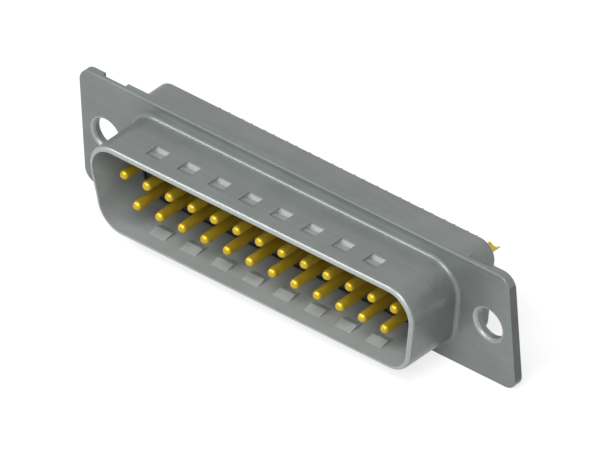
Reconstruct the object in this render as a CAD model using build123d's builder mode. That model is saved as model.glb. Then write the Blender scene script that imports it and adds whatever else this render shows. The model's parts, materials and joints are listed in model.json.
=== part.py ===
from build123d import *
from math import radians, tan
import os

# Twenty-five way trapezoid plug connector with solder cups, millimetres.
# X runs along the flange, Z is up and the mating side faces -Y.
# The origin is the middle of the flange's front face, halfway between the two mounting holes.

# Contact pattern
pitch = 2.77
row_spacing = 2.84
upper_count = 13
lower_count = 12

# Flange shared by the two drawn shells
flange_corner = 1.4
flange_end_margin = 3.0
flange_edge_margin = 0.96
hole_to_hood = 4.04
flange_front_round = 0.15
hole_radius = 1.6
hole_entry_round = 0.3

# Front shell: plate and hood drawn from one sheet
front_sheet = 0.45
hood_depth = 6.1
hood_end_margin = 2.86
hood_row_margin = 2.81
hood_inside_corner = 2.45
side_lean = 10
lip_flat = 0.04
bend_inner_round = 0.42

# Grip dimples pressed into the long sides of the hood
dimple_count = 8
dimple_pitch = 3.8
dimple_length = 1.7
dimple_depth = 0.42
dimple_to_flange = 2.95
dimple_steep_run = 0.35
dimple_ramp_run = 1.25
pad_margin = 0.1
pad_height = 0.28
pad_steep_run = 0.75

# Rear shell: plate and cup drawn from one sheet, its rim turned inwards
rear_sheet = 0.43
cup_side_step = 1.17
cup_top_step = 1.07
cup_outside_corner = 1.75
cup_depth = 4.5
cup_rim_width = 0.8
cup_edge_round = 0.42
notch_to_hole = 1.03
notch_width = 2.78
notch_height = 1.1
notch_corner = 0.3

# Insulators
fit_gap = 0.06
insulator_split = 2.4
clamp_rim_step = 0.48
rear_boss_back = 5.0
contact_boss_radius = 1.08
contact_boss_back = 5.8
moulded_round = 0.2

# Contacts
pin_radius = 0.5
pin_reach = 5.3
contact_gap = 0.03
root_radius = 0.7
root_recess = 0.15
shoulder_radius = 0.95
shoulder_length = 0.75
barrel_radius = 0.75
wire_bore_radius = 0.58
wire_bore_depth = 2.6
barrel_back = 8.5
scoop_length = 0.9
trough_length = 0.4
trough_drop = 0.33

hood_inside_width = (upper_count - 1) * pitch + 2 * hood_end_margin
hood_inside_height = row_spacing + 2 * hood_row_margin
cup_outside_width = hood_inside_width + 2 * cup_side_step
cup_outside_height = hood_inside_height + 2 * cup_top_step
hole_spacing = hood_inside_width + 2 * hole_to_hood
flange_length = hole_spacing + 2 * flange_end_margin
flange_height = cup_outside_height + 2 * flange_edge_margin
notch_centre = hole_spacing / 2 - notch_to_hole

front_face = Plane.XZ
plates_back = front_sheet + rear_sheet
cup_floor = cup_depth - rear_sheet
rim_opening_step = -rear_sheet - cup_rim_width
body_step = -rear_sheet - fit_gap
hood_outside_top = hood_inside_height / 2 + front_sheet
hood_inside_top = hood_inside_height / 2
hole_places = [(-hole_spacing / 2, 0), (hole_spacing / 2, 0)]
upper_row = [((i - (upper_count - 1) / 2) * pitch, row_spacing / 2) for i in range(upper_count)]
lower_row = [((i - (lower_count - 1) / 2) * pitch, -row_spacing / 2) for i in range(lower_count)]
contact_places = upper_row + lower_row

os.makedirs("parts", exist_ok=True)


def behind(distance):
    """Plane parallel to the flange, a distance behind its front face, looking to the mating side."""
    return front_face.offset(-distance)


def d_shape(width, height, corner, step):
    """Rounded trapezoid with its wide side up, moved outwards all round by step."""
    half_corner_angle = radians((90 - side_lean) / 2)
    sharp_gain = (corner + step) * (1 / tan(half_corner_angle) - 1)
    sharp_width = width + 2 * step + 2 * sharp_gain
    outline = Trapezoid(sharp_width, height + 2 * step, 90 - side_lean, rotation=180)
    fillet(outline.vertices(), corner + step)


def hood_shape(step):
    """Outline of the hood's inside, moved outwards by step."""
    d_shape(hood_inside_width, hood_inside_height, hood_inside_corner, step)


def cup_shape(step):
    """Outline of the rear cup's outside, moved outwards by step."""
    d_shape(cup_outside_width, cup_outside_height, cup_outside_corner, step)


def largest_opening(face):
    """Edges of the largest opening in a plate."""
    return face.inner_wires().sort_by(SortBy.LENGTH)[-1].edges()


# Hollow and pad of one dimple: wedges with a steep slope to the rear and a long one to the front
dimple_front = dimple_to_flange + dimple_steep_run + dimple_ramp_run
pad_to_flange = dimple_to_flange - pad_margin
with BuildPart() as dimple_hollow:
    with BuildSketch(Plane.YZ):
        with BuildLine():
            Polyline(
                (-dimple_to_flange, 0),
                (-dimple_to_flange - dimple_steep_run, -dimple_depth),
                (-dimple_front, 0),
                close=True,
            )
        make_face()
    extrude(amount=dimple_length / 2, both=True)
with BuildPart() as dimple_pad:
    with BuildSketch(Plane.YZ):
        with BuildLine():
            Polyline(
                (-pad_to_flange, 0),
                (-pad_to_flange - pad_steep_run, -pad_height),
                (-dimple_front - pad_margin, 0),
                close=True,
            )
        make_face()
    extrude(amount=dimple_length / 2 + pad_margin, both=True)

# Front shell
with BuildPart() as shell_front:
    with BuildSketch(behind(front_sheet)):
        RectangleRounded(flange_length, flange_height, flange_corner)
    extrude(amount=front_sheet)
    flange_front = shell_front.faces().sort_by(Axis.Y)[0]
    fillet(flange_front.outer_wire().edges(), flange_front_round)
    with BuildSketch(behind(front_sheet)):
        hood_shape(front_sheet)
    extrude(amount=front_sheet + hood_depth)
    plate_front = shell_front.faces().filter_by(Axis.Y).sort_by(Axis.Y)[1]
    fillet(largest_opening(plate_front), bend_inner_round)
    lip = shell_front.faces().sort_by(Axis.Y)[0]
    fillet(lip.outer_wire().edges(), front_sheet - lip_flat)
    with BuildSketch(behind(front_sheet)):
        hood_shape(0)
    extrude(amount=front_sheet + hood_depth, mode=Mode.SUBTRACT)
    # the bend at the foot of the hood is as thick as the sheet
    plate_back = shell_front.faces().sort_by(Axis.Y)[-1]
    fillet(largest_opening(plate_back), bend_inner_round + front_sheet)
    # each dimple is a raised pad inside and a hollow outside
    for side, turn in ((1, 0), (-1, 180)):
        with Locations((0, 0, side * hood_inside_top)):
            with GridLocations(dimple_pitch, 0, dimple_count, 1):
                add(dimple_pad.part, rotation=(0, turn, 0))
        with Locations((0, 0, side * hood_outside_top)):
            with GridLocations(dimple_pitch, 0, dimple_count, 1):
                add(dimple_hollow.part, rotation=(0, turn, 0), mode=Mode.SUBTRACT)
    with BuildSketch(behind(front_sheet)):
        with Locations(hole_places):
            Circle(hole_radius)
    extrude(amount=front_sheet, mode=Mode.SUBTRACT)
    hole_edges = shell_front.edges().filter_by(GeomType.CIRCLE)
    hole_edges = hole_edges.filter_by(lambda edge: abs(edge.radius - hole_radius) < 0.001)
    fillet(hole_edges.group_by(Axis.Y)[0], hole_entry_round)
shell_front.part.label = "shell_front"
export_step(shell_front.part, "parts/shell_front.step")

# Rear shell
with BuildPart() as shell_back:
    with BuildSketch(behind(plates_back)):
        RectangleRounded(flange_length, flange_height, flange_corner)
        with Locations((0, flange_height / 2), (0, -flange_height / 2)):
            with GridLocations(2 * notch_centre, 0, 2, 1):
                RectangleRounded(notch_width, 2 * notch_height, notch_corner, mode=Mode.SUBTRACT)
    extrude(amount=rear_sheet)
    with BuildSketch(behind(cup_depth)):
        cup_shape(0)
    extrude(amount=cup_depth - front_sheet)
    plate_back = shell_back.faces().filter_by(Axis.Y).sort_by(Axis.Y)[-2]
    fillet(largest_opening(plate_back), bend_inner_round)
    cup_end = shell_back.faces().sort_by(Axis.Y)[-1]
    fillet(cup_end.outer_wire().edges(), cup_edge_round)
    with BuildSketch(behind(cup_floor)):
        cup_shape(-rear_sheet)
    extrude(amount=cup_floor - front_sheet, mode=Mode.SUBTRACT)
    plate_front = shell_back.faces().sort_by(Axis.Y)[0]
    fillet(largest_opening(plate_front), bend_inner_round + rear_sheet)
    with BuildSketch(behind(cup_depth)):
        cup_shape(rim_opening_step)
    extrude(amount=rear_sheet, mode=Mode.SUBTRACT)
    with BuildSketch(behind(plates_back)):
        with Locations(hole_places):
            Circle(hole_radius)
    extrude(amount=rear_sheet, mode=Mode.SUBTRACT)
shell_back.part.label = "shell_back"
export_step(shell_back.part, "parts/shell_back.step")

# Front insulator: nose in the hood, body in the cup, and a sloped rim clamped between the two plates
with BuildPart() as insulator_front:
    with BuildSketch(behind(insulator_split)):
        cup_shape(body_step)
    extrude(amount=insulator_split - front_sheet)
    with BuildSketch(behind(front_sheet)):
        cup_shape(body_step + clamp_rim_step)
    extrude(amount=-clamp_rim_step, taper=45)
    with BuildSketch(behind(front_sheet)):
        hood_shape(-fit_gap)
    extrude(amount=front_sheet)
    with BuildSketch(behind(insulator_split)):
        with Locations(contact_places):
            Circle(root_radius + contact_gap)
    extrude(amount=insulator_split, mode=Mode.SUBTRACT)
    with BuildSketch(behind(insulator_split)):
        with Locations(contact_places):
            Circle(shoulder_radius + contact_gap)
    extrude(amount=shoulder_length, mode=Mode.SUBTRACT)
insulator_front.part.label = "insulator_front"
export_step(insulator_front.part, "parts/insulator_front.step")

# Rear insulator: body in the cup, block through the rim and a round boss about each contact
with BuildPart() as insulator_back:
    with BuildSketch(behind(cup_floor)):
        cup_shape(body_step)
    extrude(amount=cup_floor - insulator_split)
    with BuildSketch(behind(rear_boss_back)):
        cup_shape(rim_opening_step - fit_gap)
    extrude(amount=rear_boss_back - cup_floor)
    block_end = insulator_back.faces().sort_by(Axis.Y)[-1]
    fillet(block_end.outer_wire().edges(), moulded_round)
    with BuildSketch(behind(contact_boss_back)):
        with Locations(contact_places):
            Circle(contact_boss_radius)
    extrude(amount=contact_boss_back - rear_boss_back)
    with BuildSketch(behind(contact_boss_back)):
        with Locations(contact_places):
            Circle(barrel_radius + contact_gap)
    extrude(amount=contact_boss_back - insulator_split, mode=Mode.SUBTRACT)
insulator_back.part.label = "insulator_back"
export_step(insulator_back.part, "parts/insulator_back.step")

# Contacts: the upper row opens upwards and the lower row downwards
tip_centre = -(pin_reach - pin_radius)
shoulder_front = insulator_split - shoulder_length
trough_front = barrel_back - trough_length
scoop_front = trough_front - scoop_length
for number, (x, z) in enumerate(contact_places, start=1):
    open_side = 1 if z > 0 else -1
    axis_plane = Plane(origin=(x, 0, z), x_dir=(0, 0, open_side), z_dir=(-open_side, 0, 0))
    with BuildPart() as contact:
        with BuildSketch(axis_plane):
            with BuildLine():
                CenterArc((0, tip_centre), pin_radius, -90, 90)
                Polyline(
                    (pin_radius, tip_centre),
                    (pin_radius, root_recess),
                    (root_radius, root_recess),
                    (root_radius, shoulder_front),
                    (shoulder_radius, shoulder_front),
                    (shoulder_radius, insulator_split),
                    (barrel_radius, insulator_split),
                    (barrel_radius, barrel_back),
                    (0, barrel_back),
                    (0, -pin_reach),
                )
            make_face()
        revolve(axis=Axis((x, 0, z), (0, 1, 0)))
        with BuildSketch(behind(barrel_back)):
            with Locations((x, z)):
                Circle(wire_bore_radius)
        extrude(amount=wire_bore_depth, mode=Mode.SUBTRACT)
        with BuildSketch(axis_plane):
            with BuildLine():
                TangentArc((-trough_drop, trough_front), (barrel_radius, scoop_front), tangent=(0, -1))
                Polyline(
                    (barrel_radius, scoop_front),
                    (2 * barrel_radius, scoop_front),
                    (2 * barrel_radius, barrel_back + scoop_length),
                    (-trough_drop, barrel_back + scoop_length),
                    (-trough_drop, trough_front),
                )
            make_face()
        extrude(amount=2 * barrel_radius, both=True, mode=Mode.SUBTRACT)
    contact.part.label = f"contact_{number:02d}"
    export_step(contact.part, f"parts/contact_{number:02d}.step")
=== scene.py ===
import json

import bpy
import numpy as np
from mathutils import Matrix, Vector


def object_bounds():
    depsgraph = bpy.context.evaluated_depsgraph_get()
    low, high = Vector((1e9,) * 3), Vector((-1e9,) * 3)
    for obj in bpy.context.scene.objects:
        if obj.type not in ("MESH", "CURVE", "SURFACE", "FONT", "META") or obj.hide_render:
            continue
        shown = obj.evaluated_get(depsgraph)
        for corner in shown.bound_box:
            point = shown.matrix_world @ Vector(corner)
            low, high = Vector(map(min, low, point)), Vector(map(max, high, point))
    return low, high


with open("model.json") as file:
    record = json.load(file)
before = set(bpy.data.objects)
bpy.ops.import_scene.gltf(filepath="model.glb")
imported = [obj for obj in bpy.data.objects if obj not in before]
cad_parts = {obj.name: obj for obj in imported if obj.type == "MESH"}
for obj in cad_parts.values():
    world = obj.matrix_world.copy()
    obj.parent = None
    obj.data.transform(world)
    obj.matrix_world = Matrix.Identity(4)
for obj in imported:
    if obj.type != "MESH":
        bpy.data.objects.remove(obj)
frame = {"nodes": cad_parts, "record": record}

cad_low, cad_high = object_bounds()

# Everything is in metres; the flange's front face is at y = 0 and the mating side faces -y.
MM = 0.001
WHITE = (1.0, 1.0, 1.0, 1.0)


# Shader maths

class Value:
    """A shader socket that takes part in sums, products and comparisons."""

    def __init__(self, graph, socket):
        self.graph = graph
        self.socket = socket

    def _math(self, operation, *inputs):
        return self.graph.node("ShaderNodeMath", {"operation": operation}, inputs)

    def __add__(self, other):
        return self._math("ADD", self, other)

    __radd__ = __add__

    def __sub__(self, other):
        return self._math("SUBTRACT", self, other)

    def __rsub__(self, other):
        return self._math("SUBTRACT", other, self)

    def __mul__(self, other):
        return self._math("MULTIPLY", self, other)

    __rmul__ = __mul__

    def __truediv__(self, other):
        return self._math("DIVIDE", self, other)

    def __pow__(self, other):
        return self._math("POWER", self, other)

    def size(self):
        return self._math("ABSOLUTE", self)

    def sign(self):
        return self._math("SIGN", self)

    def larger(self, other):
        return self._math("MAXIMUM", self, other)

    def over(self, other):
        """1 where this is more than the other, 0 elsewhere."""
        return self._math("GREATER_THAN", self, other)

    def clamp(self):
        return self._math("MINIMUM", self._math("MAXIMUM", self, 0.0), 1.0)

    def step(self, low, high):
        """0 below low, 1 above high and a smooth rise between them."""
        settings = {"interpolation_type": "SMOOTHSTEP"}
        return self.graph.node("ShaderNodeMapRange", settings, (self, low, high, 0.0, 1.0))


class Graph:
    """A node tree, and one method that adds any node to it."""

    def __init__(self, tree, output_kind):
        self.tree = tree
        self.tree.nodes.clear()
        self.output = self.tree.nodes.new(output_kind)

    def put(self, socket, value):
        """Links a Value to a socket, or writes a plain number or tuple on it."""
        if isinstance(value, Value):
            self.tree.links.new(value.socket, socket)
        else:
            socket.default_value = value

    def node(self, kind, settings=None, inputs=(), output=0):
        """Adds a node, sets it up, fills its inputs by place or by name and gives one output."""
        made = self.tree.nodes.new(kind)
        for key, value in (settings or {}).items():
            setattr(made, key, value)
        named = inputs.items() if isinstance(inputs, dict) else enumerate(inputs)
        for key, value in named:
            self.put(made.inputs[key], value)
        return Value(self, made.outputs[output])

    def ray(self, kind):
        """1 for rays of this kind, 0 for others."""
        return self.node("ShaderNodeLightPath", output=kind)

    def end(self, shader):
        """Joins the last shader to the tree's output."""
        self.put(self.output.inputs["Surface"], shader)


class Finish(Graph):
    """A material with its node tree."""

    def __init__(self, name):
        self.material = bpy.data.materials.new(name)
        self.material.use_nodes = True
        super().__init__(self.material.node_tree, "ShaderNodeOutputMaterial")

    def place(self):
        """The point on the object, in metres."""
        return self.node("ShaderNodeTexCoord", output="Object")

    def part_of_place(self, axis):
        """One coordinate of the point on the object, in metres."""
        return self.node("ShaderNodeSeparateXYZ", {}, (self.place(),), output=axis)

    def scaled(self, factors):
        """The point on the object with each axis multiplied by its factor."""
        return self.node("ShaderNodeVectorMath", {"operation": "MULTIPLY"}, (self.place(), factors))

    def noise(self, factors, detail):
        """Cloudy noise from 0 to 1; the factors are cells to the metre along x, y and z."""
        inputs = {"Vector": self.scaled(factors), "Scale": 1.0, "Detail": detail, "Roughness": 0.5}
        return self.node("ShaderNodeTexNoise", {}, inputs)

    def mix(self, share, first, second):
        """Colour between first and second by share; a colour is a Value or three numbers."""
        made = self.tree.nodes.new("ShaderNodeMix")
        made.data_type = "RGBA"
        self.put(made.inputs[0], share)
        for socket, colour in ((made.inputs[6], first), (made.inputs[7], second)):
            self.put(socket, colour if isinstance(colour, Value) else (*colour, 1.0))
        return Value(self, made.outputs[2])

    def bump(self, height, distance, strength):
        """Surface normal tilted by a height that is worth distance metres at 1."""
        inputs = {"Height": height, "Distance": distance, "Strength": strength}
        return self.node("ShaderNodeBump", {}, inputs)

    def surface(self, inputs):
        """Finishes the material with one Principled shader."""
        self.end(self.node("ShaderNodeBsdfPrincipled", {}, inputs))
        return self.material


# A skin 0.1 mm inside the hood's outer face: a rounded trapezoid whose sides lean out by 10
# degrees towards +z
SKIN_HALF_WIDTH = 19.559 * MM
SKIN_HALF_HEIGHT = 4.58 * MM
SKIN_CORNER = 2.8 * MM
SKIN_EDGE = 0.06 * MM
SIDE_LEAN = np.radians(10.0)
LEAN_SINE = float(np.sin(SIDE_LEAN))
LEAN_COSINE = float(np.cos(SIDE_LEAN))


def beyond_skin(f):
    """Distance outside the skin along the flange, less than 0 within it.

    From the skin's corner centres it is the larger of the distances from the two lines through
    them, and in the wedge between the two walls' normals the straight distance.
    """
    x = f.part_of_place("X")
    z = f.part_of_place("Z")
    beyond_side = (x.size() - SKIN_HALF_WIDTH) * LEAN_COSINE - z * LEAN_SINE + SKIN_CORNER
    beyond_edge = z.size() - SKIN_HALF_HEIGHT + SKIN_CORNER
    turn = z.sign() * -LEAN_SINE
    flat = beyond_side.larger(beyond_edge)
    squares = beyond_side * beyond_side + beyond_edge * beyond_edge
    straight = (squares - beyond_side * beyond_edge * turn * 2.0) ** 0.5 / LEAN_COSINE
    wedge = (beyond_side - beyond_edge * turn).over(0.0) * (beyond_edge - beyond_side * turn).over(0.0)
    return flat + (straight - flat) * wedge - SKIN_CORNER


def inside_hood_or_hollow(f):
    """1 in the hood and in the hollows pressed into its wall, where the tin gets painted light against the
    shade and more roughness, 0 on the open faces.
    """
    within = (0.0 - beyond_skin(f)).step(-SKIN_EDGE, SKIN_EDGE)
    ahead = (0.0 - f.part_of_place("Y")).step(-SKIN_EDGE, SKIN_EDGE)
    return within * ahead


# The narrow strips of flange above and below the hood, where the hood's shade falls; they get painted
# light, a lighter tin
STRIP_WIDTH = 1.15 * MM
STRIP_FADE = 0.35 * MM
STRIP_START = 5.0 * MM
STRIP_START_FADE = 0.2 * MM
STRIP_HALF_LENGTH = 16.5 * MM
STRIP_END_FADE = 2.5 * MM
STRIP_HEIGHT = 0.16 * MM


def strip_beside_hood(f):
    """1 on the flange's strips above and below the hood, fading at their ends."""
    y = f.part_of_place("Y")
    near = (STRIP_WIDTH - beyond_skin(f)).step(-STRIP_FADE, STRIP_FADE)
    far_up = (f.part_of_place("Z").size() - STRIP_START).step(-STRIP_START_FADE, STRIP_START_FADE)
    along = (STRIP_HALF_LENGTH - f.part_of_place("X").size()).step(-STRIP_END_FADE, STRIP_END_FADE)
    low = (y + STRIP_HEIGHT).step(-SKIN_EDGE, SKIN_EDGE)
    front = (SKIN_EDGE - y).step(0.0, SKIN_EDGE)
    return near * far_up * along * low * front


# The flange's long edges begin to round this far inside its outline
LONG_EDGE_START = cad_high.z - 0.17 * MM
LONG_EDGE_FADE = 0.03 * MM


def long_edge(f):
    """1 on the flange's two long edges, 0 elsewhere."""
    off = f.part_of_place("Z").size() - LONG_EDGE_START
    return off.step(-LONG_EDGE_FADE, LONG_EDGE_FADE)


# The lip's round front edge begins this far behind the hood's front
LIP_START = -cad_low.y - 0.21 * MM
LIP_EDGE = 0.04 * MM


def lip_highlight(f):
    """1 on the hood's round lip, which gets a painted highlight, 0 elsewhere."""
    ahead = 0.0 - f.part_of_place("Y")
    return ahead.step(LIP_START - LIP_EDGE, LIP_START + LIP_EDGE)


# The plates' cut ends get painted shade, a darker tone; this starts just inside them
CUT_START = cad_high.x - 0.06 * MM
CUT_EDGE = 0.03 * MM


def shaded_ends(f):
    """1 on the cut ends of the plates, 0 elsewhere."""
    return f.part_of_place("X").size().step(CUT_START - CUT_EDGE, CUT_START + CUT_EDGE)


# The screw holes: their places along x, how far the rounded entry and the wall reach from the
# axis, and the joint between the two plates
HOLE_PLACE = 23.52 * MM
HOLE_RADIUS = 1.6 * MM
HOLE_RIM = HOLE_RADIUS + 0.28 * MM
HOLE_WALL = HOLE_RADIUS + 0.04 * MM
HOLE_EDGE = 0.02 * MM
PLATE_JOINT = 0.45 * MM
JOINT_HALF_WIDTH = 0.04 * MM


def hole_distance(f):
    """Distance from the axis of the nearer screw hole."""
    x = f.part_of_place("X").size() - HOLE_PLACE
    z = f.part_of_place("Z")
    return (x * x + z * z) ** 0.5


def hole_rim(f):
    """1 on the front plate's rounded hole edge, which gets a painted highlight, 0 elsewhere."""
    near = (HOLE_RIM - hole_distance(f)).step(-HOLE_EDGE, HOLE_EDGE)
    return near * (PLATE_JOINT - f.part_of_place("Y")).step(-HOLE_EDGE, HOLE_EDGE)


def plate_joint(f):
    """1 on the line inside a screw hole where the two plates meet, which gets painted shade, 0 elsewhere.
    """
    off = (f.part_of_place("Y") - PLATE_JOINT).size()
    line = (JOINT_HALF_WIDTH - off).step(-HOLE_EDGE, HOLE_EDGE)
    return line * (HOLE_WALL - hole_distance(f)).step(-HOLE_EDGE, HOLE_EDGE)


# Tin's tones, and the painted light and shade on the tin, each from its darkest to its lightest
DULL_TIN = (0.154, 0.169, 0.165), (0.186, 0.203, 0.198)
PAINTED_LIGHT_STRIP_TIN = (0.235, 0.256, 0.250), (0.278, 0.300, 0.294)
PAINTED_LIGHT_TIN = (0.280, 0.300, 0.298), (0.320, 0.341, 0.338)
PAINTED_HIGHLIGHT_TIN = (0.28, 0.30, 0.296), (0.325, 0.348, 0.343)
PAINTED_SHADE_TONE = (0.072, 0.080, 0.080), (0.095, 0.104, 0.103)


def tinned_sheet():
    """Drawn steel sheet with tin plate: rolling lines along x, cloudy bloom, fine grain; painted light in
    and beside the hood, painted highlights on the lip and hole edges, painted shade on the ends and joints.
    """
    f = Finish("tinned sheet")
    bloom = f.noise((260.0, 260.0, 260.0), detail=4.0)
    streaks = f.noise((90.0, 2600.0, 2600.0), detail=3.0)
    grain = f.noise((9000.0, 9000.0, 9000.0), detail=2.0)
    tone = (bloom * 0.5 + streaks * 0.35 + grain * 0.15).step(0.3, 0.7)
    hidden = inside_hood_or_hollow(f)
    # Painted light: lighter tin on the strips beside the hood, against the shade that falls there
    outside = f.mix(strip_beside_hood(f), f.mix(tone, *DULL_TIN), f.mix(tone, *PAINTED_LIGHT_STRIP_TIN))
    # Painted light: lighter tin inside the hood and in its hollows, where shade falls
    with_recess_light = f.mix(hidden, outside, f.mix(tone, *PAINTED_LIGHT_TIN))
    # Painted highlight: lighter tin on the lip and on the screw holes' rounded edges
    plated = f.mix(lip_highlight(f).larger(hole_rim(f)), with_recess_light, f.mix(tone, *PAINTED_HIGHLIGHT_TIN))
    return f.surface({
        # Painted shade: a darker tone on the plates' ends and on the joint line in the screw holes
        "Base Color": f.mix(shaded_ends(f).larger(plate_joint(f)), plated, f.mix(tone, *PAINTED_SHADE_TONE)),
        "Metallic": 0.35,
        "Specular IOR Level": 0.3,
        "Roughness": 0.28 + bloom * 0.06 + streaks * 0.05 + hidden * 0.14 + long_edge(f) * 0.22,
        "Normal": f.bump(streaks * 0.6 + grain * 0.4, 0.002 * MM, 0.2),
    })


# The resin's tones, from darkest to lightest, and the glass fibres' near its surface
RESIN = (0.034, 0.032, 0.036), (0.05, 0.047, 0.052)
FIBRE = (0.1, 0.095, 0.105)


def moulded_resin():
    """Dark glass-filled resin: matte with a fine moulded grain and a few paler fibres."""
    f = Finish("moulded resin")
    cloud = f.noise((500.0, 500.0, 500.0), detail=3.0)
    fibres = f.noise((3000.0, 12000.0, 6000.0), detail=2.0).step(0.62, 0.74)
    grain = f.noise((14000.0, 14000.0, 14000.0), detail=2.0)
    return f.surface({
        "Base Color": f.mix(fibres * 0.35, f.mix(cloud, *RESIN), FIBRE),
        "Roughness": 0.42 + grain * 0.14,
        "Normal": f.bump(grain, 0.006 * MM, 0.4),
    })


# The gold's tones, from darkest to lightest
GOLD = (0.47, 0.325, 0.024), (0.56, 0.395, 0.036)


def plated_gold():
    """Gold over turned brass: fine rings round the contact, which lies along y, and an uneven tone."""
    f = Finish("plated gold")
    rings = f.noise((200.0, 16000.0, 200.0), detail=2.0)
    cloud = f.noise((900.0, 500.0, 900.0), detail=3.0)
    return f.surface({
        "Base Color": f.mix(cloud.step(0.3, 0.7), *GOLD),
        "Metallic": 0.6,
        "Specular IOR Level": 0.1,
        "Roughness": 0.28 + cloud * 0.08 + rings * 0.06,
        "Normal": f.bump(rings, 0.002 * MM, 0.3),
    })


FINISHES = {"shell_metal": tinned_sheet(), "insulator": moulded_resin(), "contact_gold": plated_gold()}
for part in frame["record"]["subparts"]:
    piece = frame["nodes"][part["node"]]
    for slot in piece.material_slots:
        slot.material = FINISHES[part["material_slot"]]


# Camera: parallel view from the front, right and above, with the photograph's slight roll
PIXELS_PER_MM = 11.06
PICTURE_WIDTH = 600
RIGHT = Vector((0.7346, 0.6766, -0.0509)).normalized()
UP = Vector((-0.3650, 0.4573, 0.8110)).normalized()
BACK = RIGHT.cross(UP).normalized()
TARGET = Vector((0.044, 0.378, 0.331)) * MM
CAMERA_DISTANCE = 0.3
NEAREST_SEEN = 0.001
FARTHEST_SEEN = 2.0

camera_data = bpy.data.cameras.new("camera")
camera_data.type = "ORTHO"
camera_data.ortho_scale = PICTURE_WIDTH / PIXELS_PER_MM * MM
camera_data.clip_start = NEAREST_SEEN
camera_data.clip_end = FARTHEST_SEEN
camera = bpy.data.objects.new("camera", camera_data)
camera_turn = Matrix((RIGHT, BACK.cross(RIGHT), BACK)).transposed()
camera.matrix_world = Matrix.Translation(TARGET + BACK * CAMERA_DISTANCE) @ camera_turn.to_4x4()
bpy.context.scene.collection.objects.link(camera)
bpy.context.scene.camera = camera


# Floor: a wide sheet just under the flange's lower edge. The camera sees it mostly as glow, and the
# lit rest carries the shadow. The glow is a little over 1 because its share and the lit rest
# together have to reach white.
FLOOR_SIDE = 3.0
FLOOR_DROP = 0.02 * MM
FLOOR_COLOUR = (0.95, 0.95, 0.95, 1.0)
GLOW_SHARE = 0.7
GLOW_STRENGTH = 1.12


def floor_finish():
    f = Finish("floor")
    lit = f.node("ShaderNodeBsdfDiffuse", {}, {"Color": FLOOR_COLOUR})
    glow = f.node("ShaderNodeEmission", {}, {"Color": WHITE, "Strength": GLOW_STRENGTH})
    kinds = ("Is Camera Ray", "Is Glossy Ray", "Is Transmission Ray")
    seen, mirrored, through = (f.ray(kind) * GLOW_SHARE for kind in kinds)
    share = (seen + mirrored + through).clamp()
    f.end(f.node("ShaderNodeMixShader", {}, (share, lit, glow)))
    return f.material


corners = np.array([(-1, -1), (1, -1), (1, 1), (-1, 1)]) * FLOOR_SIDE / 2
floor_mesh = bpy.data.meshes.new("floor")
floor_mesh.from_pydata([(x, y, cad_low.z - FLOOR_DROP) for x, y in corners], [], [(0, 1, 2, 3)])
floor = bpy.data.objects.new("floor", floor_mesh)
floor.data.materials.append(floor_finish())
bpy.context.scene.collection.objects.link(floor)


# Light: an even pale room, seen as white, and soft lamps
ROOM_LEVEL = 0.2


def light_room():
    """Even light from all round, which the camera, mirrors and glass see as plain white."""
    world = bpy.data.worlds.new("room")
    world.use_nodes = True
    g = Graph(world.node_tree, "ShaderNodeOutputWorld")
    shown = g.ray("Is Camera Ray").larger(g.ray("Is Glossy Ray")).larger(g.ray("Is Transmission Ray"))
    light = g.node("ShaderNodeBackground", {}, {"Color": WHITE, "Strength": ROOM_LEVEL})
    backdrop = g.node("ShaderNodeBackground", {}, {"Color": WHITE, "Strength": 1.0})
    g.end(g.node("ShaderNodeMixShader", {}, (shown, light, backdrop)))
    bpy.context.scene.world = world


def lamp(name, direction, distance, size, power):
    """Square soft lamp that looks at the object's middle; direction points from the object to the lamp."""
    data = bpy.data.lights.new(name, "AREA")
    data.size = size
    data.energy = power
    made = bpy.data.objects.new(name, data)
    way = Vector(direction).normalized()
    made.location = TARGET + way * distance
    made.rotation_mode = "QUATERNION"
    made.rotation_quaternion = (-way).to_track_quat("-Z", "Y")
    bpy.context.scene.collection.objects.link(made)


light_room()
lamp("key lamp", direction=(-0.57, -0.38, 0.73), distance=0.45, size=0.16, power=0.88)
lamp("main lamp", direction=(0.31, -0.54, 0.79), distance=0.5, size=0.36, power=2.75)

bpy.context.scene.view_settings.view_transform = "Standard"
